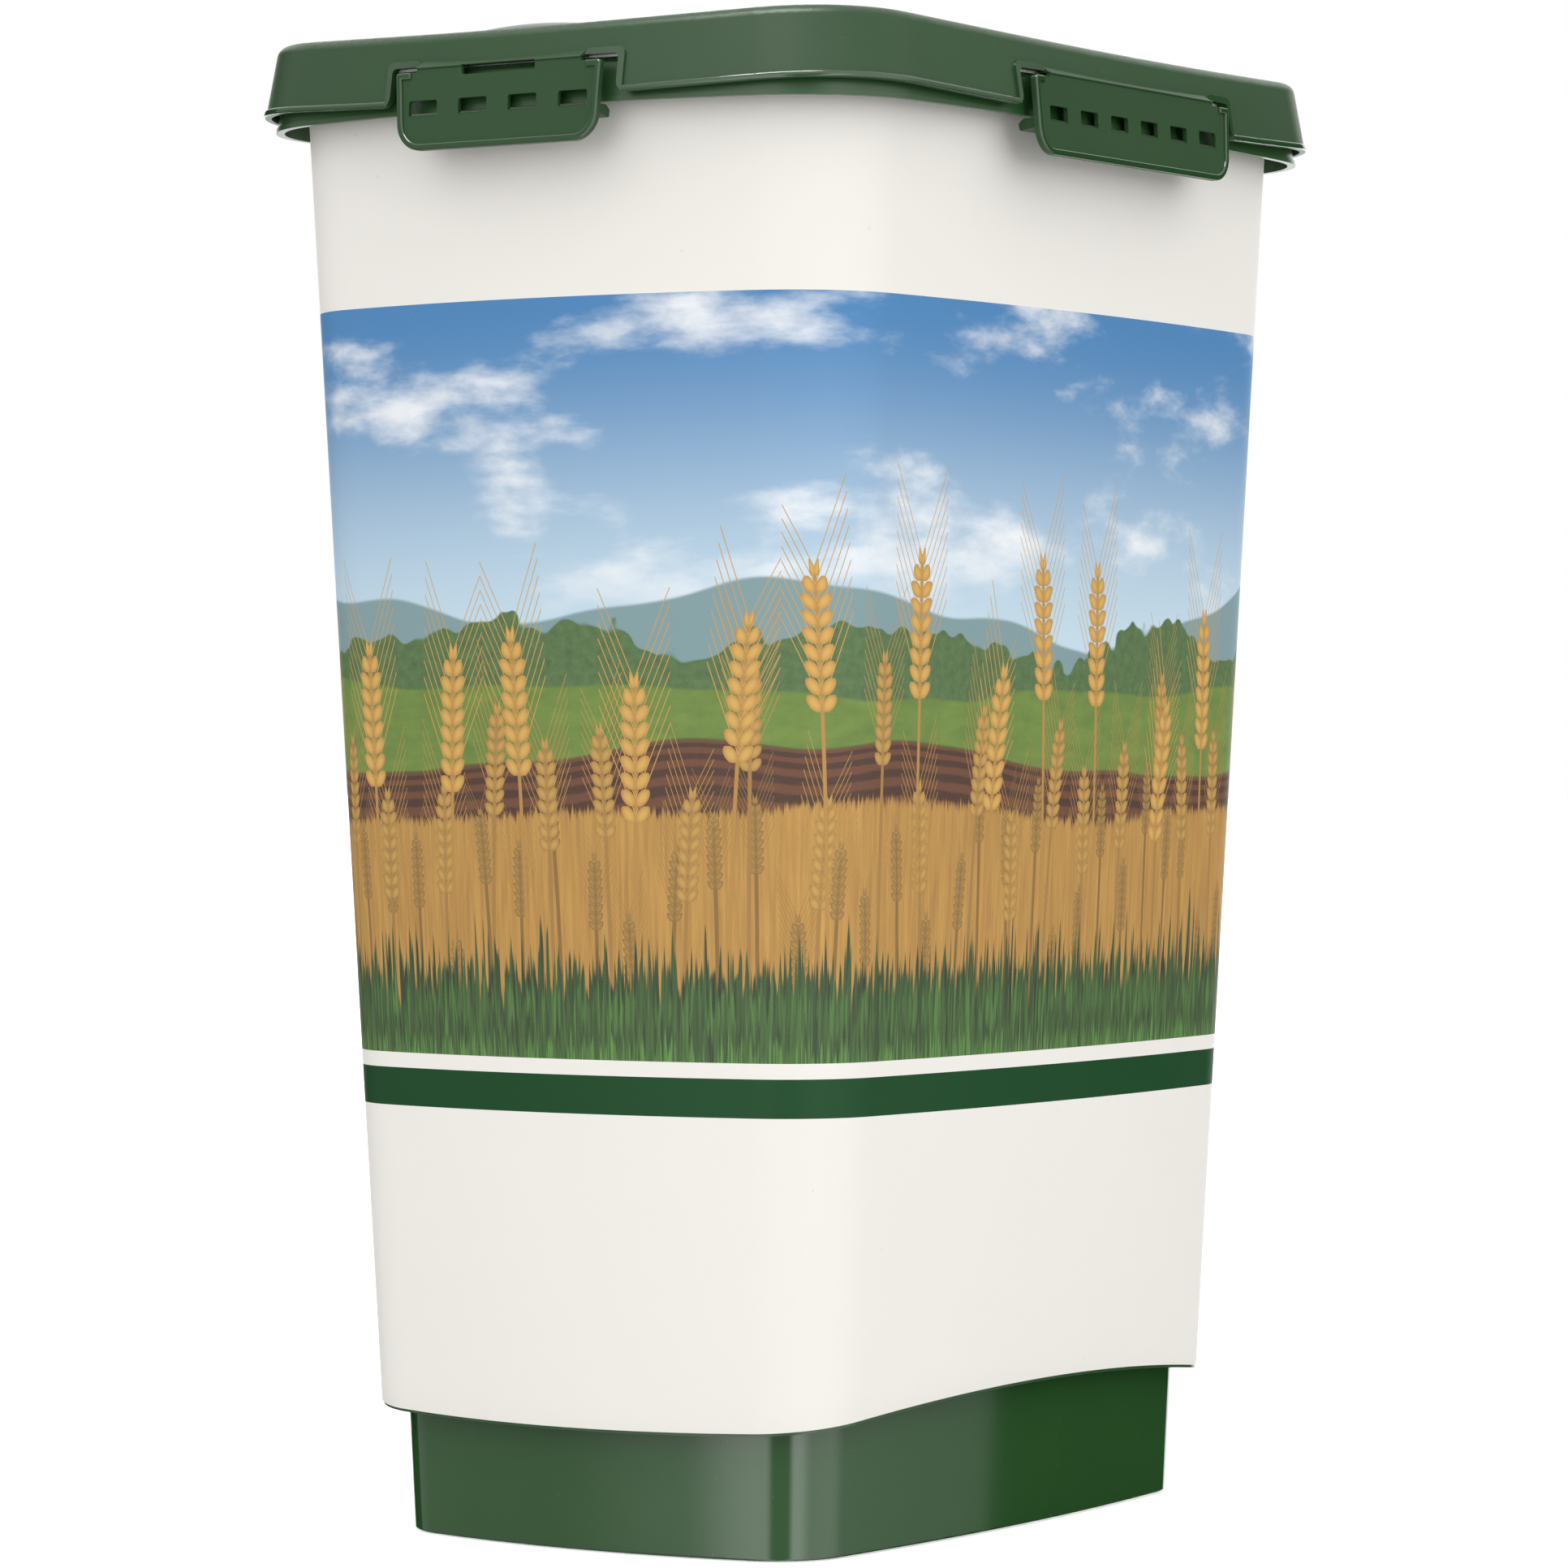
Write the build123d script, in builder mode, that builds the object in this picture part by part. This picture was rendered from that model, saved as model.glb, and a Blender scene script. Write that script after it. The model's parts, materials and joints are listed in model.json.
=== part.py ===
"""Tall feed bin: a tapered tub with a printed wrap and a lift-off lid held by four hinged clips."""
import os
from collections import namedtuple
from math import cos, radians, sin, sqrt, tan

from build123d import *

# Plan of the foot: a rectangle with bowed sides and tangent corner arcs.
# Every level of the bin is this plan moved outward by an offset.
foot_half_length = 159.0
foot_half_width = 106.3
foot_corner = 31.7
foot_long_bow = 1111.0
foot_short_bow = 332.0
corner_growth = 0.476
long_bow_growth = 5.9
short_bow_growth = 2.0

# Cutting solids start inside or run past what they cut by these lengths
overrun = 5.0
plan_reach = 260.0

# Tub: plinth, step, tapered wall and hanging rim
wall = 2.4
floor_top = 6.0
foot_recess = 3.0
foot_ring = 8.0
plinth_draft = 0.0425
plinth_edge = 1.5
wall_start = 40.0
wall_offset_at_floor = 8.4
wall_draft = 0.0496
arch_radius = 1300.0
arch_crown = 59.0
ledge = 2.6
rim_bottom = 557.0
rim_top = 574.0
rim_offset_bottom = 47.7
rim_offset_top = 46.0
rim_thickness = 2.0
rim_edge = 2.5
rim_bead = 0.5
rim_bead_height = 2.0
mouth_edge = 1.0

# Printed wrap on the tapered wall
wrap_thickness = 0.5
wrap_top = 566.0
wrap_margin = 1.2

# Lid: drafted skirt, rolled border, sunk panel, plug rib
lip_height = 558.9
lid_top = 587.6
lid_crown = 4.1
crown_x = 180.0
crown_y = 135.0
skirt_angle = 9.2
skirt_offset_at_hinge = 49.96
skirt_thickness = 2.0
skirt_end = 20.0
lid_edge = 4.5
bead_rise = 1.2
bead_width = 2.6
bead_round = 0.9
panel_top = 579.0
panel_thickness = 2.2
panel_offset = 40.0
panel_slope = 0.14
plug_bottom = 568.0
plug_offset = 32.8
plug_thickness = 1.8

# Seal between the lid panel and the rim
seal_inner = 37.0
seal_outer = 45.8
seal_clearance = 0.1

# Clips and their film hinges, which stand a little proud of the skirt
hinge_height = 574.0
hinge_offset = 51.65
hinge_radius = 0.5
hinge_play = 0.05
hinge_gap = 0.15
hinge_bar_height = 4.0
hinge_bar_depth = 5.6
slit_top = 574.8
slit_height = 1.6
notch_corner = 2.0
notch_outer_corner = 3.0
notch_foot_corner = 4.5
notch_foot_flare = 7.0
notch_reach_in = 5.5
clip_angle = 3.0
clip_taper = 3.7
clip_drop = 32.0
clip_thickness = 1.8
clip_corner = 11.0
clip_top_corner = 1.5
border_width = 2.6
border_rise = 1.0
border_round = 0.7
border_return = 7.0
window_width = 13.4
window_height = 6.3
window_drop = 15.8
window_corner = 1.0
window_pitch = 23.5
slot_drop = 3.6
slot_corner = 1.2
hook_inset = 2.0
hook_root = 0.4
hook_top_drop = 18.2
hook_flat = 5.8
hook_reach = 8.3
hook_tip_drop = 20.2
hook_tip_lean = 0.7
hook_foot_drop = 23.1
hook_heel_drop = 21.7
hook_round = 0.7

# Finger grips on the lid panel
grip_offset = 31.0
grip_depth = 20.0
grip_height = 12.0
grip_half_length = 58.0
grip_end_height = 4.0
grip_corner = 4.0
grip_groove_depth = 9.0
grip_groove_height = 8.0
grip_groove_width = 46.0
grip_edge = 2.0
peg_radius = 2.5
peg_play = 0.05
peg_spread = 60.0
peg_length = 5.0

Clip = namedtuple("Clip", "width notch hinge windows slot")
short_clip = Clip(width=96.4, notch=106.5, hinge=77.0, windows=4, slot=34.5)
long_clip = Clip(width=152.4, notch=164.0, hinge=128.0, windows=6, slot=0.0)

up = Vector(0, 0, 1)


def outline(offset):
    """The plan at an offset from the foot: four bowed sides joined by tangent corner arcs."""
    half_length = foot_half_length + offset
    half_width = foot_half_width + offset
    corner_radius = foot_corner + corner_growth * offset
    long_bow = foot_long_bow + long_bow_growth * offset
    short_bow = foot_short_bow + short_bow_growth * offset
    long_centre = Vector(0, half_width - long_bow)
    short_centre = Vector(half_length - short_bow, 0)
    between = short_centre - long_centre
    ray = between.normalized()
    long_reach = long_bow - corner_radius
    short_reach = short_bow - corner_radius
    along = (long_reach**2 - short_reach**2 + between.length**2) / (2 * between.length)
    across = sqrt(long_reach**2 - along**2)
    centre = long_centre + ray * along + Vector(ray.Y, -ray.X) * across
    long_end = centre + (centre - long_centre).normalized() * corner_radius
    short_end = centre + (centre - short_centre).normalized() * corner_radius
    middle = centre + (long_end + short_end - centre * 2).normalized() * corner_radius
    with BuildSketch(Plane.XY, mode=Mode.PRIVATE) as plan:
        with BuildLine():
            for x, y in ((1, 1), (-1, 1), (-1, -1), (1, -1)):
                ThreePointArc(
                    (x * long_end.X, y * long_end.Y),
                    (x * middle.X, y * middle.Y),
                    (x * short_end.X, y * short_end.Y),
                )
            for side in (1, -1):
                ThreePointArc(
                    (-long_end.X, side * long_end.Y),
                    (0, side * half_width),
                    (long_end.X, side * long_end.Y),
                )
                ThreePointArc(
                    (side * short_end.X, -short_end.Y),
                    (side * half_length, 0),
                    (side * short_end.X, short_end.Y),
                )
        make_face()
    return plan.sketch_local


def tapered(low, low_offset, high, high_offset):
    """A solid between two levels whose plan changes from one offset to the other."""
    with BuildPart(mode=Mode.PRIVATE) as body:
        with BuildSketch(Plane.XY.offset(low)):
            add(outline(low_offset))
        with BuildSketch(Plane.XY.offset(high)):
            add(outline(high_offset))
        loft()
    return body.part


def wall_offset(height):
    """Offset of the tub wall's outer face at a height."""
    return wall_offset_at_floor + wall_draft * height


def skirt_offset(height):
    """Offset of the lid skirt's outer face at a height."""
    return skirt_offset_at_hinge + (hinge_height - height) * tan(radians(skirt_angle))


def wall_body(low, high, outward):
    """The tapered wall between two levels, with its face moved outward."""
    return tapered(low, wall_offset(low) + outward, high, wall_offset(high) + outward)


def skirt_body(outward):
    """The lid skirt's drafted block, taller than the lid, with its face moved outward."""
    low = lip_height - skirt_end
    high = lid_top + skirt_end
    return tapered(low, skirt_offset(low) + outward, high, skirt_offset(high) + outward)


def under_arch(lift):
    """Everything below the arched line that ends the wall, with the line lifted."""
    end = arch_crown + lift - arch_radius + sqrt(arch_radius**2 - plan_reach**2)
    with BuildPart(mode=Mode.PRIVATE) as block:
        with BuildSketch(Plane.XZ):
            with BuildLine():
                ThreePointArc((-plan_reach, end), (0, arch_crown + lift), (plan_reach, end))
                Polyline((plan_reach, end), (plan_reach, 0), (-plan_reach, 0), (-plan_reach, end))
            make_face()
        extrude(amount=plan_reach, both=True)
    return block.part


def crown(x, y):
    """Rise of the lid above its centre lines: nothing along them, most at the corners."""
    return lid_crown * (x / crown_x) ** 2 * (y / crown_y) ** 2


def crowned_slab(low, high):
    """A slab that is level along both centre lines and rises towards the corners."""
    rise = crown(plan_reach, plan_reach)
    square = (1, -1, 1)
    poles = [
        [Vector(plan_reach * (i - 1), plan_reach * (j - 1), low + rise * square[i] * square[j]) for j in range(3)]
        for i in range(3)
    ]
    return extrude(Face.make_bezier_surface(poles), amount=high - low, dir=up, mode=Mode.PRIVATE)


def hinge_plane(outward, half_size):
    """Plane of a clip's outer face: its X runs along the hinge, its Y up the clip."""
    normal = outward * cos(radians(clip_angle)) + up * sin(radians(clip_angle))
    origin = outward * (half_size + hinge_offset) + up * hinge_height
    return Plane(origin=origin, x_dir=up.cross(outward), z_dir=normal)


def upright_plane(outward):
    """Vertical plane through the middle of the bin that faces a side: its Y is height."""
    return Plane(origin=(0, 0, 0), x_dir=up.cross(outward), z_dir=outward)


def across_plane(outward, half_size):
    """Section plane through a hinge: its X runs outward and its Y up from the hinge axis."""
    origin = outward * (half_size + hinge_offset) + up * hinge_height
    return Plane(origin=origin, x_dir=outward, z_dir=outward.cross(up))


def clip_blank(width):
    """Outline of a clip's plate below its slits: tapered, with large lower corners."""
    with BuildSketch(Plane.XY, mode=Mode.PRIVATE) as blank:
        with Locations((0, -(clip_drop + slit_height) / 2)):
            Trapezoid(width, clip_drop - slit_height, 90 + clip_taper)
        fillet(blank.vertices().group_by(Axis.Y)[0], clip_corner)
        fillet(blank.vertices().group_by(Axis.Y)[-1], clip_top_corner)
    return blank.sketch_local


Side = namedtuple("Side", "name outward half_size clip notch_edge")
short_notch_edge = (foot_half_length + skirt_offset_at_hinge, short_clip.notch / 2)
long_notch_edge = (long_clip.notch / 2, foot_half_width + skirt_offset_at_hinge)
sides = [
    Side("left", Vector(-1, 0, 0), foot_half_length, short_clip, short_notch_edge),
    Side("right", Vector(1, 0, 0), foot_half_length, short_clip, short_notch_edge),
    Side("front", Vector(0, -1, 0), foot_half_width, long_clip, long_notch_edge),
    Side("back", Vector(0, 1, 0), foot_half_width, long_clip, long_notch_edge),
]

os.makedirs("parts", exist_ok=True)

# Tub: one moulding in three solids that meet face to face, the foot, the wall and the rim
plinth_end = arch_crown + ledge
plinth_core_end = plinth_end + overrun
plinth_body = tapered(0, 0, plinth_end, plinth_draft * plinth_end)
plinth_core = tapered(
    floor_top, plinth_draft * floor_top - wall, plinth_core_end, plinth_draft * plinth_core_end - wall
)
rim_body = tapered(rim_bottom, rim_offset_bottom, rim_top, rim_offset_top)
rim_hollow = tapered(
    rim_bottom - overrun, rim_offset_bottom - rim_thickness, rim_top - rim_thickness, rim_offset_top - rim_thickness
)
rim_lip = tapered(
    rim_bottom, rim_offset_bottom + rim_bead, rim_bottom + rim_bead_height, rim_offset_bottom + rim_bead / 2
)
wall_block = wall_body(wall_start, rim_top, 0)
wall_core = wall_body(wall_start, rim_top + overrun, -wall)
step_cut = under_arch(0)
ledge_cut = under_arch(ledge)

with BuildPart() as upper_core:
    add(wall_core)
    add(ledge_cut, mode=Mode.SUBTRACT)

with BuildPart() as tub_foot:
    add(plinth_body)
    fillet(tub_foot.faces().sort_by(Axis.Z)[0].edges(), plinth_edge)
    add(step_cut, mode=Mode.INTERSECT)
    add(plinth_core, mode=Mode.SUBTRACT)
    with BuildSketch(Plane.XY):
        add(outline(-foot_ring))
    extrude(amount=foot_recess, mode=Mode.SUBTRACT)
tub_foot.part.label = "tub_foot"
export_step(tub_foot.part, "parts/tub_foot.step")

with BuildPart() as tub_wall:
    add(wall_block)
    add(step_cut, mode=Mode.SUBTRACT)
    add(upper_core.part, mode=Mode.SUBTRACT)
    add(plinth_core, mode=Mode.SUBTRACT)
    mouth = tub_wall.faces().filter_by(Axis.Z).sort_by(Axis.Z)[-1].inner_wires()[0]
    fillet(mouth.edges(), mouth_edge)
tub_wall.part.label = "tub_wall"
export_step(tub_wall.part, "parts/tub_wall.step")

with BuildPart() as tub_rim:
    add(rim_body)
    fillet(tub_rim.faces().sort_by(Axis.Z)[-1].edges(), rim_edge)
    add(rim_lip)
    add(rim_hollow, mode=Mode.SUBTRACT)
    add(wall_block, mode=Mode.SUBTRACT)
tub_rim.part.label = "tub_rim"
export_step(tub_rim.part, "parts/tub_rim.step")

# Printed wrap
wrap_skin = wall_body(wall_start, wrap_top, wrap_thickness)
wrap_core = wall_body(wall_start - overrun, wrap_top + overrun, 0)
wrap_cut = under_arch(wrap_margin)

with BuildPart() as wall_wrap:
    add(wrap_skin)
    add(wrap_core, mode=Mode.SUBTRACT)
    add(wrap_cut, mode=Mode.SUBTRACT)
wall_wrap.part.label = "wall_wrap"
export_step(wall_wrap.part, "parts/wall_wrap.step")

# Lid: raised beads first, then the shell, then notches and hinge bars
bead_zone = crowned_slab(lip_height, lip_height + bead_width)
lid_zone = crowned_slab(lip_height, lid_top)
hollow_zone = crowned_slab(lip_height - skirt_end, lid_top - skirt_thickness)
panel_underside = panel_top - panel_thickness
panel_rise = lid_top + skirt_end - panel_top
panel_flare = panel_slope * panel_rise
pan_offset = panel_offset + skirt_thickness
sunk_panel = tapered(panel_top, panel_offset, panel_top + panel_rise, panel_offset + panel_flare)
panel_pan = tapered(panel_underside, pan_offset, panel_top + panel_rise, pan_offset + panel_flare)
skirt_block = skirt_body(0)
skirt_core = skirt_body(-skirt_thickness)
bead_block = skirt_body(bead_rise)
grip_middle = foot_half_length + grip_offset - grip_depth / 2

with BuildPart() as notch_frames:
    for side in sides:
        frame_width = (side.clip.notch - side.clip.hinge) / 2 + bead_width
        frame_centre = (side.clip.hinge + frame_width) / 2
        frame_low = lip_height - skirt_end
        frame_height = slit_top + bead_width - frame_low
        with BuildSketch(upright_plane(side.outward)):
            for hand in (1, -1):
                with Locations((hand * frame_centre, frame_low + frame_height / 2)):
                    RectangleRounded(frame_width, frame_height, notch_outer_corner)
        extrude(amount=plan_reach)

with BuildPart() as beads:
    add(bead_block)
    add(bead_zone, mode=Mode.INTERSECT)
    fillet(beads.faces().sort_by(SortBy.AREA)[-2:].edges(), bead_round)

with BuildPart() as frames:
    add(bead_block)
    add(lid_zone, mode=Mode.INTERSECT)
    add(notch_frames.part, mode=Mode.INTERSECT)

with BuildPart() as lid_hollow:
    add(skirt_core)
    add(hollow_zone, mode=Mode.INTERSECT)
    add(panel_pan, mode=Mode.SUBTRACT)

with BuildPart() as lid:
    add(skirt_block)
    add(lid_zone, mode=Mode.INTERSECT)
    fillet(lid.faces().sort_by(Axis.Z)[-1].edges(), lid_edge)
    add(sunk_panel, mode=Mode.SUBTRACT)
    add(beads.part)
    add(frames.part)
    add(lid_hollow.part, mode=Mode.SUBTRACT)
    for side in sides:
        notch_face = side.half_size + skirt_offset_at_hinge - notch_reach_in
        notch_foot = lip_height + crown(*side.notch_edge)
        with BuildSketch(upright_plane(side.outward).offset(notch_face)) as notch:
            with Locations((0, slit_top)):
                Rectangle(side.clip.notch, slit_top - lip_height, align=(Align.CENTER, Align.MAX))
            fillet(notch.vertices().group_by(Axis.Y)[-1], notch_corner)
            with Locations((0, notch_foot)):
                Rectangle(side.clip.notch + 2 * notch_foot_flare, skirt_end, align=(Align.CENTER, Align.MAX))
            foot_row = notch.vertices().group_by(Axis.Y)[1]
            fillet(foot_row.sort_by(Axis.X)[1:3], notch_foot_corner)
        extrude(amount=skirt_end, mode=Mode.SUBTRACT)
        with BuildSketch(across_plane(side.outward, side.half_size)):
            with BuildLine():
                Polyline(
                    (0, hinge_gap),
                    (-hinge_bar_depth, hinge_gap),
                    (-hinge_bar_depth, hinge_bar_height),
                    close=True,
                )
            make_face()
            Circle(hinge_radius, mode=Mode.SUBTRACT)
        extrude(amount=side.clip.hinge / 2, both=True)
    with BuildSketch(Plane.XY.offset(plug_bottom)):
        add(outline(plug_offset))
        add(outline(plug_offset - plug_thickness), mode=Mode.SUBTRACT)
    extrude(amount=panel_underside - plug_bottom)
    with BuildSketch(Plane.XY.offset(panel_top)):
        with GridLocations(2 * grip_middle, peg_spread, 2, 2):
            Circle(peg_radius + peg_play)
    extrude(amount=-panel_thickness, mode=Mode.SUBTRACT)
lid.part.label = "lid"
export_step(lid.part, "parts/lid.step")

# Seal ring under the lid panel
with BuildPart() as lid_seal:
    with BuildSketch(Plane.XY.offset(rim_top + seal_clearance)):
        add(outline(seal_outer))
        add(outline(seal_inner), mode=Mode.SUBTRACT)
    extrude(amount=panel_underside - rim_top - seal_clearance)
lid_seal.part.label = "lid_seal"
export_step(lid_seal.part, "parts/lid_seal.step")

# Clips, each hanging from its film hinge, with a full-width hook that reaches under the rim
for side in sides:
    shape = side.clip
    face_plane = hinge_plane(side.outward, side.half_size)
    section_plane = across_plane(side.outward, side.half_size)
    with BuildPart() as clip:
        with BuildSketch(face_plane):
            add(clip_blank(shape.width))
            with Locations((0, -(slit_height + hinge_gap) / 2)):
                Rectangle(shape.hinge, slit_height - hinge_gap)
            with Locations((0, -window_drop)):
                with GridLocations(window_pitch, 1, shape.windows, 1):
                    RectangleRounded(window_width, window_height, window_corner, mode=Mode.SUBTRACT)
            if shape.slot:
                RectangleRounded(shape.slot, 2 * slot_drop, slot_corner, mode=Mode.SUBTRACT)
        extrude(amount=-clip_thickness)
        with BuildSketch(face_plane):
            add(clip_blank(shape.width))
            offset(amount=-border_width, mode=Mode.SUBTRACT)
            with Locations((0, -slit_height)):
                Rectangle(shape.width - 2 * border_return, 2 * border_width, mode=Mode.SUBTRACT)
        extrude(amount=border_rise)
        fillet(clip.faces().sort_by(Axis(face_plane.origin, face_plane.z_dir))[-1].edges(), border_round)
        with BuildSketch(section_plane) as hook:
            with BuildLine():
                Polyline(
                    (hook_root, -hook_top_drop),
                    (-hook_flat, -hook_top_drop),
                    (-hook_reach, -hook_tip_drop),
                    (-hook_reach + hook_tip_lean, -hook_foot_drop),
                    (hook_root, -hook_heel_drop),
                    close=True,
                )
            make_face()
            fillet(hook.vertices().sort_by(Axis.X)[:3], hook_round)
        extrude(amount=shape.width / 2 - hook_inset, both=True)
        with BuildSketch(section_plane):
            Circle(hinge_radius + hinge_play)
        extrude(amount=shape.width / 2, both=True, mode=Mode.SUBTRACT)
    clip.part.label = side.name + "_clip"
    export_step(clip.part, "parts/" + clip.part.label + ".step")

    with BuildPart() as hinge_web:
        with BuildSketch(section_plane):
            Circle(hinge_radius)
        extrude(amount=shape.hinge / 2, both=True)
        if shape.slot:
            with BuildSketch(section_plane):
                Circle(2 * hinge_radius)
            extrude(amount=shape.slot / 2, both=True, mode=Mode.SUBTRACT)
    hinge_web.part.label = side.name + "_hinge_web"
    export_step(hinge_web.part, "parts/" + hinge_web.part.label + ".step")

# Finger grips at both short ends of the lid panel, each on two pegs
for name, outward in (("left_grip", Vector(-1, 0, 0)), ("right_grip", Vector(1, 0, 0))):
    grip_plane = upright_plane(outward).offset(foot_half_length + grip_offset - grip_depth)
    with BuildPart() as grip:
        with BuildSketch(grip_plane):
            with BuildLine():
                ThreePointArc(
                    (-grip_half_length, panel_top + grip_end_height),
                    (0, panel_top + grip_height),
                    (grip_half_length, panel_top + grip_end_height),
                )
                Polyline(
                    (grip_half_length, panel_top + grip_end_height),
                    (grip_half_length, panel_top),
                    (-grip_half_length, panel_top),
                    (-grip_half_length, panel_top + grip_end_height),
                )
            make_face()
        extrude(amount=grip_depth)
        fillet(grip.edges().filter_by(Axis.Z), grip_corner)
        fillet(grip.faces().sort_by(Axis.Z)[-1].edges(), grip_edge)
        with BuildSketch(grip_plane):
            with Locations((0, panel_top + grip_groove_height / 2)):
                Rectangle(grip_groove_width, grip_groove_height)
        extrude(amount=grip_groove_depth, mode=Mode.SUBTRACT)
        with BuildSketch(Plane.XY.offset(panel_top)):
            with Locations(outward * grip_middle):
                with GridLocations(1, peg_spread, 1, 2):
                    Circle(peg_radius)
        extrude(amount=-peg_length)
    grip.part.label = name
    export_step(grip.part, "parts/" + name + ".step")
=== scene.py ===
"""Feed bin: moulded finishes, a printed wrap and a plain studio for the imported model."""

import json
from collections import namedtuple
from math import atan2, copysign, cos, degrees, hypot, pi, radians, sin, sqrt, tan

import bmesh
import bpy
from bpy.props import FloatProperty, FloatVectorProperty, IntProperty, PointerProperty
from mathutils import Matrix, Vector


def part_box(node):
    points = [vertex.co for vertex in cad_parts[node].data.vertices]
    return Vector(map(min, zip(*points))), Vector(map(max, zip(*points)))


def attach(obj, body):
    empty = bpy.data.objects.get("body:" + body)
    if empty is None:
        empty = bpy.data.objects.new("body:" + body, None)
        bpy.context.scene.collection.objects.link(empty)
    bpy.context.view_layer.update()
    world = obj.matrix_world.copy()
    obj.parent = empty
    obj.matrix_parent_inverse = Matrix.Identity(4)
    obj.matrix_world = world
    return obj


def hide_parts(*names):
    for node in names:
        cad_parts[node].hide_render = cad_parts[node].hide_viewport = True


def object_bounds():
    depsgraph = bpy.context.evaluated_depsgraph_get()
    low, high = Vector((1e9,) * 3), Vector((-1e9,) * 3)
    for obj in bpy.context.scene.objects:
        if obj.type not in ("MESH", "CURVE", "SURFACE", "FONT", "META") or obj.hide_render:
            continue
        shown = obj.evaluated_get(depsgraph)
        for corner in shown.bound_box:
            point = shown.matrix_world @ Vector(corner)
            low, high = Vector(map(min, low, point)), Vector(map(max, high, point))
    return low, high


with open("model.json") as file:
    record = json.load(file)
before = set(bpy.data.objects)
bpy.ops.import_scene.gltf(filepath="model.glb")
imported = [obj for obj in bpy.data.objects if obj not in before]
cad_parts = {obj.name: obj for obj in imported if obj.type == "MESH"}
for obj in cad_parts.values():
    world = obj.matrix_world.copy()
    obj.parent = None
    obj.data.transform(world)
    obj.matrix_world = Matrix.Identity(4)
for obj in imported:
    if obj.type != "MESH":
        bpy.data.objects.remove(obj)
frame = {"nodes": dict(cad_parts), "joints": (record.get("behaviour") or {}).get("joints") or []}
cad_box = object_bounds()

bl_info = {
    "name": "Feed Bin",
    "version": (1, 0, 0),
    "blender": (4, 5, 0),
    "location": "View3D > Sidebar > Feed Bin",
    "description": "Finishes, printed wrap and studio for a tall feed bin with a clipped lid",
    "category": "Object",
}

SIDES = {
    "left": Vector((-1, 0, 0)),
    "right": Vector((1, 0, 0)),
    "front": Vector((0, -1, 0)),
    "back": Vector((0, 1, 0)),
}

# Soft light panels round the bin, in degrees to the right of the camera's axis
Panel = namedtuple("Panel", "start start_edge end end_edge strength")
PANELS = (
    Panel(start=-52, start_edge=12, end=-6, end_edge=12, strength=1.48),
    Panel(start=-75, start_edge=25, end=-6, end_edge=12, strength=0.46),
    Panel(start=13, start_edge=10, end=48, end_edge=20, strength=1.37),
    Panel(start=13, start_edge=10, end=113, end_edge=40, strength=1.17),
    Panel(start=146, start_edge=4, end=181, end_edge=1, strength=1.5),
    Panel(start=-181, start_edge=1, end=-156, end_edge=4, strength=1.2),
)

# Stretches without light, in the same degrees, and the width of their edges
DARK_STRETCHES = ((114, 148), (-157, -126))
DARK_EDGE = 1.0

# Heights where the panels end and the dome begins, in degrees
DOME_FROM, DOME_TO = 12, 30

# Skylines of the picture: level and swing in shares of its height, waves per metre, shift
Skyline = namedtuple("Skyline", "level swing waves shift")
FAR_HILLS = Skyline(level=0.6, swing=0.34, waves=4.2, shift=3.1)
WOODS = Skyline(level=0.57, swing=0.3, waves=5.6, shift=8.4)
MEADOW = Skyline(level=0.49, swing=0.2, waves=4.9, shift=13.7)
EARTH = Skyline(level=0.41, swing=0.26, waves=4.4, shift=21.9)
FIELD = Skyline(level=0.3, swing=0.12, waves=5.1, shift=31.2)

# Rows of ears from back to front: pitch, top and ear length in metres on the film
GrainRow = namedtuple("GrainRow", "pitch top ear seed tone")
GRAIN_ROWS = (
    GrainRow(pitch=0.019, top=0.272, ear=0.03, seed=7.3, tone=0.55),
    GrainRow(pitch=0.031, top=0.318, ear=0.044, seed=3.6, tone=0.8),
    GrainRow(pitch=0.047, top=0.362, ear=0.058, seed=1.2, tone=1.0),
)

# Layers of grass from back to front: streaks per metre, reach in shares of the picture
GrassLayer = namedtuple("GrassLayer", "streaks reach tone")
GRASS_LAYERS = (
    GrassLayer(streaks=330.0, reach=0.36, tone=0.6),
    GrassLayer(streaks=410.0, reach=0.29, tone=1.2),
    GrassLayer(streaks=530.0, reach=0.21, tone=0.8),
    GrassLayer(streaks=620.0, reach=0.15, tone=1.7),
)


# Property helpers


def length(name, description, default):
    """A length in metres."""
    return FloatProperty(name=name, description=description, default=default, unit="LENGTH", precision=4)


def number(name, description, default):
    """A plain number without a unit."""
    return FloatProperty(name=name, description=description, default=default)


def angle(name, description, default):
    """An angle given in degrees."""
    return FloatProperty(name=name, description=description, default=radians(default), subtype="ANGLE")


def power(name, description, default):
    """The power of a lamp in watts."""
    return FloatProperty(name=name, description=description, default=default, unit="POWER")


def colour(name, description, red, green, blue):
    """A colour given in display values from 0 to 255."""
    default = [display_to_linear(value / 255) for value in (red, green, blue)]
    return FloatVectorProperty(
        name=name, description=description, subtype="COLOR", min=0, max=1, default=default
    )


def display_to_linear(value):
    """One display colour value as linear light."""
    return value / 12.92 if value <= 0.04045 else ((value + 0.055) / 1.055) ** 2.4


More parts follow.
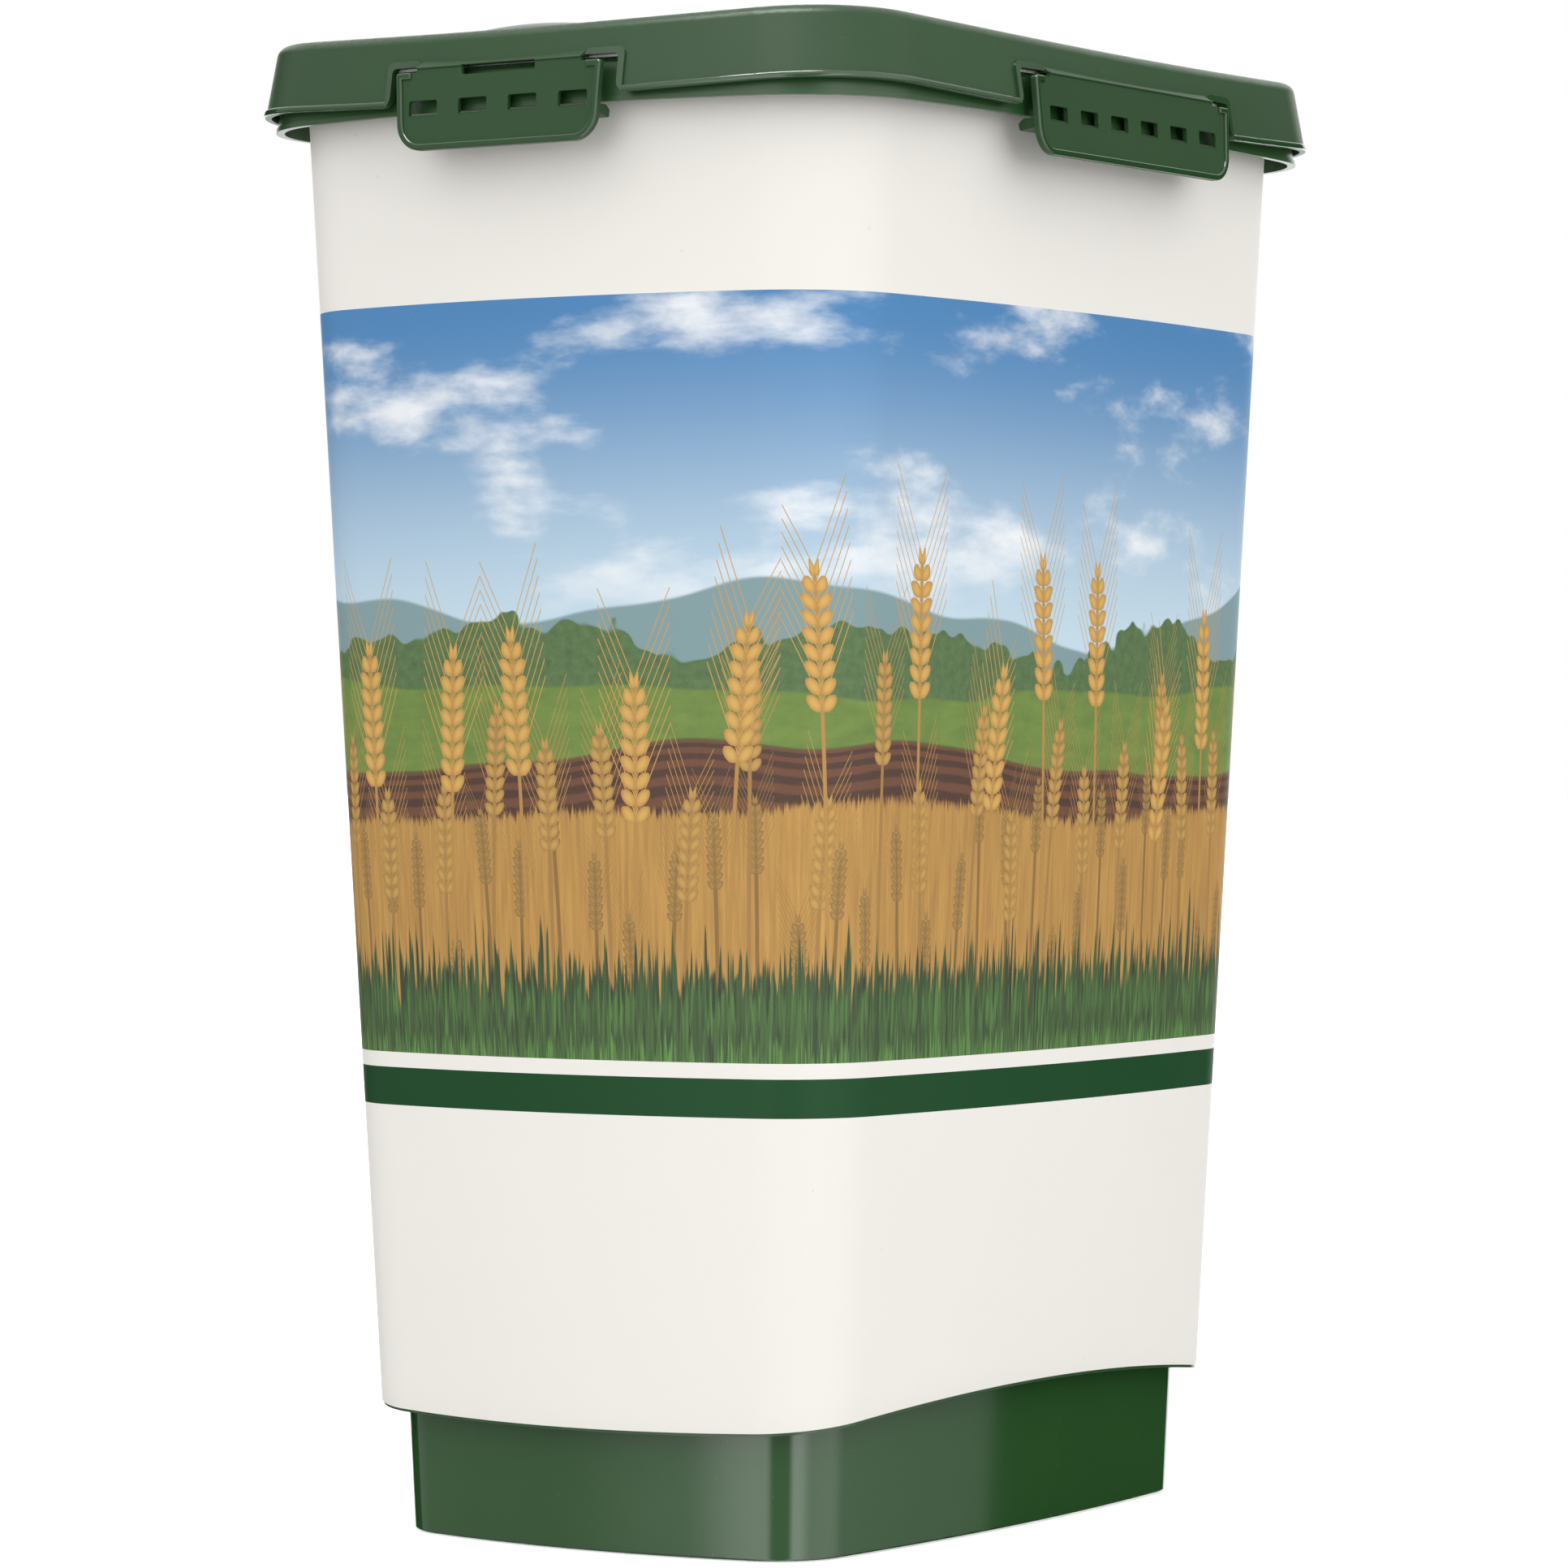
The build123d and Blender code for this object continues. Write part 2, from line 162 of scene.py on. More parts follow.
class BinPlan(bpy.types.PropertyGroup):
    """Plan and wall of the bin: a rectangle with bowed sides that grows with height."""

    half_length: length("Half length", "Half the foot's length along X", 0.159)
    half_width: length("Half width", "Half the foot's width along Y", 0.1063)
    corner: length("Corner", "Corner radius of the foot", 0.0317)
    long_bow: length("Long bow", "Bow radius of the foot's long sides", 1.111)
    short_bow: length("Short bow", "Bow radius of the foot's short sides", 0.332)
    corner_growth: number("Corner growth", "Growth of the corner radius per outward step", 0.476)
    long_bow_growth: number("Long bow growth", "Growth of the long bow per outward step", 5.9)
    short_bow_growth: number("Short bow growth", "Growth of the short bow per outward step", 2.0)
    foot_draft: number("Foot draft", "Outward step of the foot per height", 0.0425)
    wall_at_floor: length("Wall at floor", "How far the wall stands out at floor level", 0.0084)
    wall_draft: number("Wall draft", "Outward step of the wall per height", 0.0496)
    wrap_thickness: length("Wrap thickness", "Thickness of the printed wrap", 0.0005)
    wrap_top: length("Wrap top", "Height where the wrap ends under the rim", 0.566)
    arch_crown: length("Arch crown", "Height of the wrap's lower edge at mid length", 0.0602)
    arch_radius: length("Arch radius", "Radius of the wrap's arched lower edge", 1.3)
    rows: IntProperty(name="Rows", description="Rows of points up the wrap", default=60, min=2)
    lap: length("Lap", "How far the wrap's end laps over its start at the back", 0.009)
    skirt_at_hinge: length("Skirt at hinge", "How far the lid's skirt stands out at the hinges", 0.04996)
    skirt_angle: angle("Skirt angle", "Draft of the lid's skirt", 9.2)
    clip_angle: angle("Clip angle", "Lean of the clips' plates", 3.0)
    proud: length("Proud", "Least rise of the polished beads over a moulded face", 0.0003)
    bead_slope: angle("Bead slope", "Steepest upward slope of a polished face", 50.0)
    edge_break: length("Edge break", "Width of the broken edges", 0.0002)


class BinPrint(bpy.types.PropertyGroup):
    """The country picture printed on the wrap."""

    picture_low: length("Picture low", "Lower edge of the picture", 0.192)
    picture_high: length("Picture high", "Upper edge of the picture", 0.485)
    ribbon_low: length("Ribbon low", "Lower edge of the plain ribbon under the picture", 0.171)
    ribbon_high: length("Ribbon high", "Upper edge of the plain ribbon under the picture", 0.186)
    seam: length("Seam", "Bare margin at the start of the wrap", 0.004)
    film: colour("Film", "Bare film", 238, 235, 229)
    ribbon: colour("Ribbon", "Plain ribbon", 14, 66, 30)
    sky_high: colour("Sky high", "Sky at the top", 62, 128, 184)
    sky_low: colour("Sky low", "Sky above the hills", 198, 221, 234)
    cloud: colour("Cloud", "Clouds", 246, 248, 250)
    far_hill: colour("Far hill", "Hazy hills", 124, 154, 158)
    near_hill: colour("Near hill", "Wooded hills", 74, 104, 58)
    earth: colour("Earth", "Ploughed earth", 104, 60, 36)
    earth_dark: colour("Earth dark", "Furrows", 66, 36, 22)
    meadow: colour("Meadow", "Meadow", 126, 152, 62)
    meadow_dark: colour("Meadow dark", "Shaded meadow", 74, 108, 40)
    grain: colour("Grain", "Ripe grain", 216, 170, 84)
    grain_dark: colour("Grain dark", "Shaded grain", 142, 92, 38)
    grass: colour("Grass", "Grass at the lower edge", 58, 92, 40)


class BinFinish(bpy.types.PropertyGroup):
    """Colours of the moulded plastics."""

    lid_green: colour("Lid green", "Green plastic of lid and clips", 40, 71, 39)
    tub_green: colour("Tub green", "Green plastic of the tub", 42, 80, 40)
    grip: colour("Grip", "Grey plastic of the grips", 132, 133, 136)
    seal: colour("Seal", "Seal ring", 244, 243, 240)
    green_ior: number("Green IOR", "Refractive index of the green plastic", 1.6)


class BinStudio(bpy.types.PropertyGroup):
    """Camera and lights."""

    turn: angle("Turn", "Camera turn about the bin", 56.877)
    distance: length("Distance", "Camera distance from the bin's axis", 2.51031)
    height: length("Height", "Camera height", 0.312448)
    lens: number("Lens", "Focal length in millimetres on a 36 mm sensor", 140.27)
    shift_x: number("Shift X", "Camera shift to the side", -0.009893)
    shift_y: number("Shift Y", "Camera shift upward", -0.023657)
    room: number("Room", "Brightness of the room between the panels", 0.43)
    dome: number("Dome", "Brightness above the panels", 1.5)
    backdrop: number("Backdrop", "Brightness of the backdrop", 1.0)
    floor_bounce: number("Floor bounce", "Share of light that the floor throws back at the bin", 0.45)
    floor_glow: number("Floor glow", "Light that lifts the floor to white for the camera", 0.4)
    softbox: power("Softbox", "Power of the softbox over the camera", 100.0)
    softbox_width: length("Softbox width", "Width of the softbox", 1.6)
    softbox_depth: length("Softbox depth", "Depth of the softbox", 1.0)
    softbox_turn: angle("Softbox turn", "Turn of the softbox to the right of the camera", -20.0)
    softbox_reach: length("Softbox reach", "Level distance of the softbox from the bin's axis", 1.2)
    softbox_height: length("Softbox height", "Height of the softbox", 2.4)


# Node helpers


def put(tree, kind, *values, **settings):
    """Adds a node, sets its properties and fills or links its inputs in order."""
    node = tree.nodes.new(kind)
    for name, value in settings.items():
        setattr(node, name, value)
    for socket, value in zip(node.inputs, values):
        feed(tree, socket, value)
    return node


def feed(tree, socket, value):
    """Links a socket or sets a value; None leaves the input as it is."""
    if isinstance(value, bpy.types.NodeSocket):
        tree.links.new(value, socket)
    elif value is not None:
        socket.default_value = value


def calc(tree, operation, *values):
    """One sum of a Math node."""
    return put(tree, "ShaderNodeMath", *values, operation=operation).outputs[0]


def plus(tree, first, second):
    """Two values added."""
    return calc(tree, "ADD", first, second)


def minus(tree, first, second):
    """The second value taken from the first."""
    return calc(tree, "SUBTRACT", first, second)


def times(tree, first, second):
    """Two values multiplied."""
    return calc(tree, "MULTIPLY", first, second)


def ratio(tree, first, second):
    """The first value divided by the second."""
    return calc(tree, "DIVIDE", first, second)


def scaled(tree, value, factor, shift):
    """A value times a factor, then shifted."""
    return calc(tree, "MULTIPLY_ADD", value, factor, shift)


def squared(tree, value):
    """A value times itself."""
    return calc(tree, "POWER", value, 2.0)


def above(tree, value, limit):
    """1 where a value is over a limit, otherwise 0."""
    return calc(tree, "GREATER_THAN", value, limit)


def under(tree, value, limit):
    """1 where a value is under a limit, otherwise 0."""
    return calc(tree, "LESS_THAN", value, limit)


def ease(tree, value, low, high):
    """A smooth step from 0 at low to 1 at high."""
    node = put(tree, "ShaderNodeMapRange", value, low, high, 0.0, 1.0, interpolation_type="SMOOTHSTEP")
    return node.outputs[0]


def remap(tree, value, low, high):
    """A value from 0 to 1 spread between low and high."""
    return put(tree, "ShaderNodeMapRange", value, 0.0, 1.0, low, high).outputs[0]


def blend(tree, amount, lower, upper):
    """One colour over another."""
    node = tree.nodes.new("ShaderNodeMix")
    node.data_type = "RGBA"
    amount_input, lower_input, upper_input = node.inputs[0], node.inputs[6], node.inputs[7]
    feed(tree, amount_input, amount)
    for socket, value in ((lower_input, lower), (upper_input, upper)):
        linked = isinstance(value, bpy.types.NodeSocket)
        feed(tree, socket, value if linked else (*value, 1.0))
    return node.outputs[2]


def toned(shade, share):
    """A colour made darker or lighter by a share, no brighter than white."""
    return [min(1.0, value * share) for value in shade]


def noise(tree, vector, scale, detail=2.0, roughness=0.5):
    """Soft noise from 0 to 1."""
    return put(tree, "ShaderNodeTexNoise", vector, None, scale, detail, roughness).outputs[0]


def sockets(tree, in_out, kind, *names):
    """Adds named sockets of one kind to a node group."""
    for name in names:
        tree.interface.new_socket(name=name, in_out=in_out, socket_type=kind)


def new_material(name):
    """An empty node material with its shader and output linked."""
    material = bpy.data.materials.new(name)
    material.use_nodes = True
    tree = material.node_tree
    tree.nodes.clear()
    shader = tree.nodes.new("ShaderNodeBsdfPrincipled")
    output = tree.nodes.new("ShaderNodeOutputMaterial")
    tree.links.new(shader.outputs[0], output.inputs[0])
    return material, tree, shader


def object_place(tree):
    """Object coordinates."""
    return put(tree, "ShaderNodeTexCoord").outputs["Object"]


def use_group(tree, group, *values):
    """Places a node group and fills its inputs."""
    return put(tree, "ShaderNodeGroup", *values, node_tree=group).outputs


def roughen(tree, shader, height, strength, distance):
    """Raises a fine grain on a shader's surface."""
    bump = put(tree, "ShaderNodeBump")
    bump.inputs["Strength"].default_value = strength
    bump.inputs["Distance"].default_value = distance
    feed(tree, bump.inputs["Height"], height)
    feed(tree, shader.inputs["Normal"], bump.outputs[0])


# Shared surface effects


def moulded_group():
    """Surface of moulded plastic: fine grain, slow mottling and a few specks of dust."""
    found = bpy.data.node_groups.get("moulded_plastic")
    if found:
        return found
    tree = bpy.data.node_groups.new("moulded_plastic", "ShaderNodeTree")
    sockets(tree, "INPUT", "NodeSocketVector", "Position")
    sockets(tree, "INPUT", "NodeSocketFloat", "Grain Scale", "Mottle Scale", "Speck Scale")
    sockets(tree, "OUTPUT", "NodeSocketFloat", "Grain", "Mottle", "Specks")
    position, grain_scale, mottle_scale, speck_scale, _ = put(tree, "NodeGroupInput").outputs
    grain = noise(tree, position, grain_scale, detail=3.0, roughness=0.6)
    mottle = noise(tree, position, mottle_scale, detail=4.0, roughness=0.55)
    speck_size, clean_share = 0.04, 0.75
    cells = put(tree, "ShaderNodeTexVoronoi", position, None, speck_scale, feature="F1")
    near = under(tree, cells.outputs[0], speck_size)
    chosen = put(tree, "ShaderNodeSeparateColor", cells.outputs[1]).outputs[0]
    specks = times(tree, near, above(tree, chosen, clean_share))
    put(tree, "NodeGroupOutput", grain, mottle, specks)
    return tree


def grain_row_group():
    """A row of grain ears on bent stalks, as masks on a flat picture."""
    found = bpy.data.node_groups.get("grain_row")
    if found:
        return found
    tree = bpy.data.node_groups.new("grain_row", "ShaderNodeTree")
    names = ("Girth", "Height", "Pitch", "Ear Top", "Ear Length", "Foot", "Seed")
    sockets(tree, "INPUT", "NodeSocketFloat", *names)
    sockets(tree, "OUTPUT", "NodeSocketFloat", "Mask", "Tone")
    girth, height, pitch, ear_top, ear_length, foot, seed, _ = put(tree, "NodeGroupInput").outputs

    # Each stalk's own chances
    along = plus(tree, ratio(tree, girth, pitch), seed)
    cell = calc(tree, "FLOOR", along)
    place = put(tree, "ShaderNodeCombineXYZ", cell, seed, 0.0).outputs[0]
    chance = put(tree, "ShaderNodeTexWhiteNoise", place, noise_dimensions="2D").outputs[1]
    height_chance, bend_chance, place_chance = put(tree, "ShaderNodeSeparateColor", chance).outputs

    # Place on the stalk: down from the ear's top and aside from the bent line
    top_spread, bend_share, side_low, side_high = 0.07, -1.1, 0.38, 0.62
    top = scaled(tree, minus(tree, height_chance, 0.5), top_spread, ear_top)
    below = minus(tree, top, height)
    rise = minus(tree, height, foot)
    bend = times(tree, minus(tree, bend_chance, 0.5), times(tree, rise, rise))
    local = minus(tree, minus(tree, along, cell), remap(tree, place_chance, side_low, side_high))
    aside = scaled(tree, bend, bend_share, times(tree, local, pitch))
    off = calc(tree, "ABSOLUTE", aside)

    # Kernels in two columns, smaller towards the tip
    kernel_rows, kernel_lift, kernel_centre = 9.0, 0.5, -0.52
    tip_start, tip_end, narrowing, shortening = -0.6, 2.2, 2.0, 1.75
    spacing = ratio(tree, ear_length, kernel_rows)
    step = ratio(tree, below, spacing)
    across_row = minus(tree, calc(tree, "FRACT", step), 0.5)
    in_ear = times(tree, above(tree, below, 0.0), under(tree, below, ear_length))
    fullness = times(tree, ease(tree, step, tip_start, tip_end), spacing)
    lifted = scaled(tree, across_row, times(tree, spacing, kernel_lift), off)
    sideways = ratio(tree, scaled(tree, fullness, kernel_centre, lifted), fullness)
    wide = squared(tree, times(tree, sideways, narrowing))
    tall = squared(tree, times(tree, across_row, shortening))
    reach = plus(tree, wide, tall)
    kernel = times(tree, ease(tree, reach, 1.0, 0.86), in_ear)

    # Stalk, and a beard of slanting bristles
    stalk_edge, stalk_core, stalk_top = 0.0011, 0.0007, 0.004
    stalk = times(tree, ease(tree, off, stalk_edge, stalk_core), above(tree, below, stalk_top))
    beard_slant, beard_reach, bristle_edge, bristle_core = 2.1, 2.6, 0.09, 0.05
    slant = scaled(tree, off, beard_slant, below)
    bristle = minus(tree, calc(tree, "FRACT", ratio(tree, slant, spacing)), 0.5)
    beard = ease(tree, calc(tree, "ABSOLUTE", bristle), bristle_edge, bristle_core)
    beard = times(tree, beard, under(tree, slant, ear_length))
    beard = times(tree, beard, under(tree, off, times(tree, spacing, beard_reach)))
    beard = times(tree, beard, above(tree, slant, 0.0))

    stalk_tone, beard_tone, kernel_rim_tone = 0.45, 0.8, 0.35
    mask = calc(tree, "MAXIMUM", calc(tree, "MAXIMUM", kernel, stalk), beard)
    tone = times(tree, kernel, remap(tree, reach, 1.0, kernel_rim_tone))
    tone = calc(tree, "MAXIMUM", tone, times(tree, stalk, stalk_tone))
    tone = calc(tree, "MAXIMUM", tone, times(tree, beard, beard_tone))
    put(tree, "NodeGroupOutput", mask, tone)
    return tree


# Materials


def green_plastic(name, shade, roughness, gloss, grain_height, grain_scale):
    """Green moulded plastic, from matt and grained to polished."""
    found = bpy.data.materials.get(name)
    if found:
        return found
    material, tree, shader = new_material(name)
    mottle_scale, speck_scale = 14.0, 170.0
    dust, dust_cover = (0.4, 0.42, 0.36), 0.25
    place = object_place(tree)
    grain, mottle, specks = use_group(tree, moulded_group(), place, grain_scale, mottle_scale, speck_scale)
    base = blend(tree, mottle, toned(shade, 0.9), toned(shade, 1.1))
    base = blend(tree, times(tree, specks, dust_cover), base, dust)
    feed(tree, shader.inputs["Base Color"], base)
    feed(tree, shader.inputs["Roughness"], remap(tree, mottle, roughness * 0.88, roughness * 1.12))
    roughen(tree, shader, grain, strength=0.5, distance=grain_height)
    shader.inputs["IOR"].default_value = bpy.context.scene.bin_finish.green_ior
    shader.inputs["Specular IOR Level"].default_value = gloss
    return material


def matt_green():
    """Fine spark-eroded face of the lid and clips."""
    shade = bpy.context.scene.bin_finish.lid_green
    return green_plastic(
        "matt_green", shade, roughness=0.4, gloss=0.22, grain_height=0.00005, grain_scale=1700.0
    )


def bead_green():
    """Polished beads round the lid's edge and the clips."""
    shade = bpy.context.scene.bin_finish.lid_green
    return green_plastic(
        "bead_green", shade, roughness=0.1, gloss=0.5, grain_height=0.000002, grain_scale=1400.0
    )


def foot_green():
    """Polished foot of the tub."""
    shade = bpy.context.scene.bin_finish.tub_green
    return green_plastic(
        "foot_green", shade, roughness=0.09, gloss=0.5, grain_height=0.000002, grain_scale=1400.0
    )


def satin_green():
    """Plain moulded wall and rim of the tub."""
    shade = bpy.context.scene.bin_finish.tub_green
    return green_plastic(
        "satin_green", shade, roughness=0.3, gloss=0.4, grain_height=0.00001, grain_scale=900.0
    )


def soft_plastic(name, shade, roughness_low, roughness_high, grain_scale):
    """Plain grey plastic or rubber with a fine grain."""
    material, tree, shader = new_material(name)
    mottle_scale, speck_scale = 30.0, 120.0
    dust, dust_cover = (0.2, 0.2, 0.18), 0.2
    place = object_place(tree)
    grain, mottle, specks = use_group(tree, moulded_group(), place, grain_scale, mottle_scale, speck_scale)
    base = blend(tree, mottle, toned(shade, 0.92), toned(shade, 1.08))
    feed(tree, shader.inputs["Base Color"], blend(tree, times(tree, specks, dust_cover), base, dust))
    feed(tree, shader.inputs["Roughness"], remap(tree, mottle, roughness_low, roughness_high))
    roughen(tree, shader, grain, strength=0.4, distance=0.00004)
    return material


# The printed picture

Chart = namedtuple("Chart", "girth height up flat wide")


def film_chart(tree, look):
    """Places on the film: along the girth, up in metres, and up the picture from 0 to 1."""
    place = put(tree, "ShaderNodeUVMap", uv_map="UVMap").outputs[0]
    girth, height, _ = put(tree, "ShaderNodeSeparateXYZ", place).outputs
    span = (look.picture_low, look.picture_high, 0.0, 1.0)
    up = put(tree, "ShaderNodeMapRange", height, *span, clamp=False).outputs[0]
    flat = put(tree, "ShaderNodeCombineXYZ", girth, height, 0.0).outputs[0]
    cloud_stretch = 2.6
    stretched = times(tree, height, cloud_stretch)
    wide = put(tree, "ShaderNodeCombineXYZ", girth, stretched, 0.0).outputs[0]
    return Chart(girth, height, up, flat, wide)


def ridge(tree, chart, line):
    """Height of a skyline along the girth, from 0 to 1 of the picture."""
    place = put(tree, "ShaderNodeCombineXYZ", chart.girth, line.shift, 0.0).outputs[0]
    wave = minus(tree, noise(tree, place, line.waves, roughness=0.45), 0.5)
    return scaled(tree, wave, line.swing, line.level)


def below_line(tree, chart, line, softness):
    """A mask of what lies below a skyline."""
    return ease(tree, minus(tree, line, chart.up), 0.0, softness)


def streaks(tree, chart, across, upward, detail=3.0):
    """Upright streaks, as in grass or standing grain."""
    x, y = times(tree, chart.girth, across), times(tree, chart.height, upward)
    place = put(tree, "ShaderNodeCombineXYZ", x, y, 0.0).outputs[0]
    return noise(tree, place, 1.0, detail, roughness=0.6)


def sky_and_hills(tree, chart, look):
    """Sky with clouds, hazy hills, woods and a meadow."""
    horizon, cloud_base, cloud_level, cloud_cover = 0.5, 0.52, 0.7, 0.92
    picture = blend(tree, ease(tree, chart.up, horizon, 1.0), look.sky_low, look.sky_high)
    puffs = noise(tree, chart.wide, scale=7.5, detail=6.0, roughness=0.55)
    puffs = ease(tree, puffs, low=0.5, high=0.66)
    cloud = times(tree, puffs, ease(tree, chart.up, cloud_base, cloud_level))
    picture = blend(tree, times(tree, cloud, cloud_cover), picture, look.cloud)

    far = below_line(tree, chart, ridge(tree, chart, FAR_HILLS), softness=0.006)
    picture = blend(tree, far, picture, look.far_hill)

    trees_per_metre, crown_depth = 105.0, -0.055
    cells = put(tree, "ShaderNodeTexVoronoi", chart.flat, None, trees_per_metre, feature="SMOOTH_F1")
    crowns = times(tree, cells.outputs[0], crown_depth)
    wood = below_line(tree, chart, plus(tree, ridge(tree, chart, WOODS), crowns), softness=0.005)
    leaf_shade = noise(tree, chart.flat, scale=260.0, detail=3.0, roughness=0.6)
    leaves = blend(tree, leaf_shade, toned(look.near_hill, 0.5), toned(look.near_hill, 1.7))
    picture = blend(tree, wood, picture, leaves)

    meadow = below_line(tree, chart, ridge(tree, chart, MEADOW), softness=0.006)
    turf_shade = noise(tree, chart.wide, scale=60.0, detail=4.0, roughness=0.6)
    turf = blend(tree, turf_shade, look.meadow_dark, look.meadow)
    return blend(tree, meadow, picture, turf)


def fields(tree, chart, look, picture):
    """Ploughed earth and a field of standing grain with single ears before it."""
    depth = minus(tree, ridge(tree, chart, EARTH), chart.up)
    edge, furrow_count, furrow_crowding, clod_size = 0.006, 130.0, 0.55, 1.2
    earth = ease(tree, depth, 0.0, edge)
    path = calc(tree, "POWER", calc(tree, "MAXIMUM", depth, 0.0), furrow_crowding)
    furrow = calc(tree, "SINE", times(tree, path, furrow_count))
    clods = times(tree, noise(tree, chart.flat, scale=150.0, detail=3.0), clod_size)
    furrow = ease(tree, plus(tree, furrow, clods), 0.0, clod_size)
    picture = blend(tree, earth, picture, blend(tree, furrow, look.earth_dark, look.earth))

    tip_height = 0.05
    tips = times(tree, streaks(tree, chart, across=900.0, upward=20.0), tip_height)
    field = below_line(tree, chart, plus(tree, ridge(tree, chart, FIELD), tips), softness=0.012)
    straw = streaks(tree, chart, across=520.0, upward=26.0, detail=4.0)
    stand = blend(tree, straw, look.grain_dark, look.grain)
    picture = blend(tree, field, picture, stand)

    for row in GRAIN_ROWS:
        values = (chart.girth, chart.height, row.pitch, row.top, row.ear, look.picture_low, row.seed)
        mask, tone = use_group(tree, grain_row_group(), *values)
        ear = blend(tree, tone, toned(look.grain_dark, row.tone), toned(look.grain, row.tone))
        picture = blend(tree, mask, picture, ear)
    return picture


def grass_edge(tree, chart, look, picture):
    """Layers of grass along the lower edge."""
    sunk, fineness = -0.05, 1.7
    for layer in GRASS_LAYERS:
        blade = streaks(tree, chart, layer.streaks, upward=9.0, detail=2.0)
        tips = scaled(tree, blade, layer.reach, sunk)
        blades = below_line(tree, chart, tips, softness=0.02)
        sheen = streaks(tree, chart, layer.streaks * fineness, upward=12.0)
        sheen = ease(tree, sheen, low=0.3, high=0.7)
        deep, pale = [toned(look.grass, layer.tone * share) for share in (0.3, 1.6)]
        picture = blend(tree, blades, picture, blend(tree, sheen, deep, pale))
    return picture


def printed_film():
    """Satin white film with a country picture all round and a plain ribbon under it."""
    look = bpy.context.scene.bin_print
    material, tree, shader = new_material("printed_film")
    chart = film_chart(tree, look)
    picture = sky_and_hills(tree, chart, look)
    picture = fields(tree, chart, look, picture)
    picture = grass_edge(tree, chart, look, picture)
    raster_grey, raster_cover = (0.5, 0.48, 0.44), 0.12
    raster = remap(tree, noise(tree, chart.flat, scale=1800.0), 0.0, raster_cover)
    picture = blend(tree, raster, picture, raster_grey)

    def between(low, high):
        return times(tree, above(tree, chart.height, low), under(tree, chart.height, high))

    peel_scale, mottle_scale, speck_scale = 900.0, 9.0, 60.0
    dust, dust_cover = (0.3, 0.28, 0.24), 0.12
    place = object_place(tree)
    peel, mottle, specks = use_group(tree, moulded_group(), place, peel_scale, mottle_scale, speck_scale)
    film = blend(tree, mottle, toned(look.film, 0.975), look.film)
    film = blend(tree, times(tree, specks, dust_cover), film, dust)
    base = blend(tree, between(look.picture_low, look.picture_high), film, picture)
    base = blend(tree, between(look.ribbon_low, look.ribbon_high), base, look.ribbon)
    base = blend(tree, above(tree, chart.girth, look.seam), film, base)
    feed(tree, shader.inputs["Base Color"], base)
    feed(tree, shader.inputs["Roughness"], remap(tree, mottle, low=0.46, high=0.56))
    shader.inputs["Specular IOR Level"].default_value = 0.22
    roughen(tree, shader, peel, strength=0.25, distance=0.00003)
    return material


# Pieces


def add_piece(name, mesh, materials, body, slot, *nodes):
    """Puts a mesh into the scene as a piece that stands for CAD nodes."""
    piece = bpy.data.objects.new(name, mesh)
    bpy.context.scene.collection.objects.link(piece)
    for material in materials:
        if material.name not in mesh.materials:
            mesh.materials.append(material)
    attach(piece, body)
    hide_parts(*nodes)
    return piece


def moulded_copy(node, name, is_polished=None):
    """A merged copy of a CAD node's mesh; polished faces take the second material."""
    source = frame["nodes"][node].data
    merge_distance, sharp_angle = 1e-6, radians(28)
    shell = bmesh.new()
    corners = [shell.verts.new(vertex.co) for vertex in source.vertices]
    for face in source.polygons:
        shell.faces.new([corners[index] for index in face.vertices])
    bmesh.ops.remove_doubles(shell, verts=shell.verts[:], dist=merge_distance)
    shell.normal_update()
    for face in shell.faces:
        face.smooth = True
        if is_polished:
            face.material_index = int(is_polished(face.calc_center_median(), face.normal))
    for edge in shell.edges:
        edge.smooth = edge.calc_face_angle(pi) < sharp_angle
    mesh = bpy.data.meshes.new(name)
    shell.to_mesh(mesh)
    shell.free()
    return mesh


def broken_edges(piece):
    """Breaks the sharp edges, so that they catch the light as moulded edges do."""
    edge = piece.modifiers.new("broken_edges", "BEVEL")
    edge.width = bpy.context.scene.bin_plan.edge_break
    edge.segments = 2
    edge.limit_method = "ANGLE"
    edge.angle_limit = radians(40)


def even_normals(piece):
    """Lets large faces rule the shading, so flat areas stay flat beside rounded edges."""
    even = piece.modifiers.new("even_normals", "WEIGHTED_NORMAL")
    even.mode = "FACE_AREA"
    even.weight = 80
    even.keep_sharp = True


def joint_place(name):
    """Where a joint's axis passes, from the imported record."""
    return Vector(next(joint["pos_m"] for joint in frame["joints"] if joint["name"] == name))


# The bin's plan

PlanArcs = namedtuple(
    "PlanArcs", "long_centre long_bow short_centre short_bow corner_x corner_y corner lean tip"
)


def plan_arcs(plan, offset):
    """Arcs of the plan at an offset, for the quarter where X and Y are positive."""
    long_bow = plan.long_bow + plan.long_bow_growth * offset
    short_bow = plan.short_bow + plan.short_bow_growth * offset
    corner = plan.corner + plan.corner_growth * offset
    long_centre = plan.half_width + offset - long_bow
    short_centre = plan.half_length + offset - short_bow
    gap = hypot(short_centre, long_centre)
    long_reach = long_bow - corner
    short_reach = short_bow - corner
    along = (long_reach**2 - short_reach**2 + gap**2) / (2 * gap)
    across = sqrt(long_reach**2 - along**2)
    ray_x, ray_y = short_centre / gap, -long_centre / gap
    corner_x = ray_x * along + ray_y * across
    corner_y = long_centre + ray_y * along - ray_x * across
    lean = atan2(corner_x, corner_y - long_centre)
    tip = atan2(corner_y, corner_x - short_centre)
    return PlanArcs(long_centre, long_bow, short_centre, short_bow, corner_x, corner_y, corner, lean, tip)


